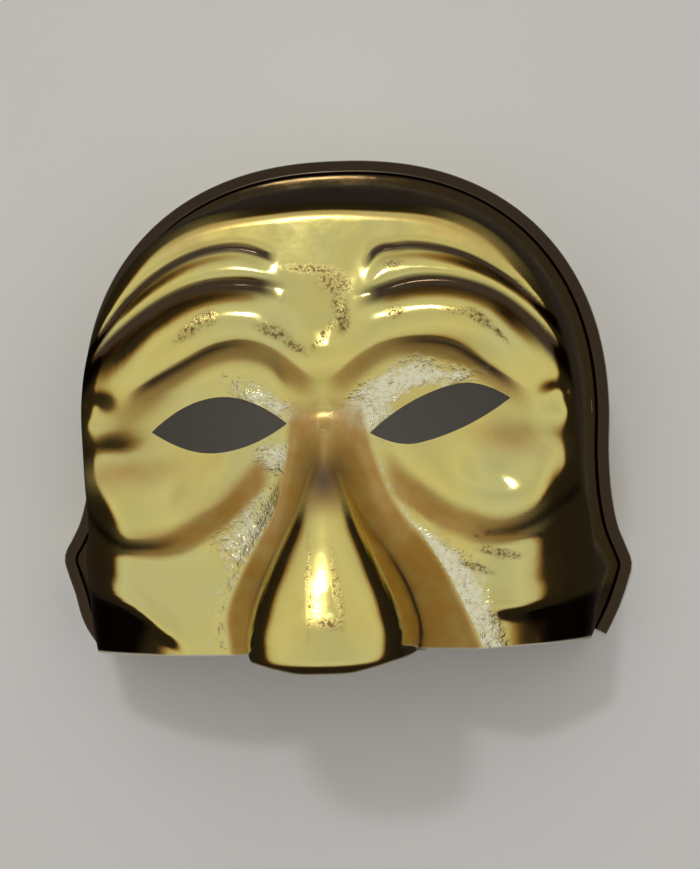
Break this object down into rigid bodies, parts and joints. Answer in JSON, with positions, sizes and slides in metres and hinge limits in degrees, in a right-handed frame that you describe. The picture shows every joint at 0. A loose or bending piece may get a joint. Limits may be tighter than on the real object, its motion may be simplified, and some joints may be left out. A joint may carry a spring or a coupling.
{
  "type": "costume half mask",
  "caption": "Gold vacuum-formed plastic half mask with a wrinkled brow, leaf-shaped eye holes, eye pouches and a long drooping nose, lying on its rim.",
  "frame": {"origin": "middle of the mask's outline, in the plane of the rim it lies on", "axes": "+Z out of the front of the face, +Y toward the forehead, +X toward the viewer's right when facing the mask"},
  "size_m": [0.1766, 0.1512, 0.0841],
  "materials": {
    "gold_plastic": "glossy metallised gold on thin off-white plastic sheet, dull silvery wear and fine brown crazing on the raised folds"
  },
  "bodies": {
    "root": {"mask_shell": "gold_plastic"}
  },
  "joints": []
}
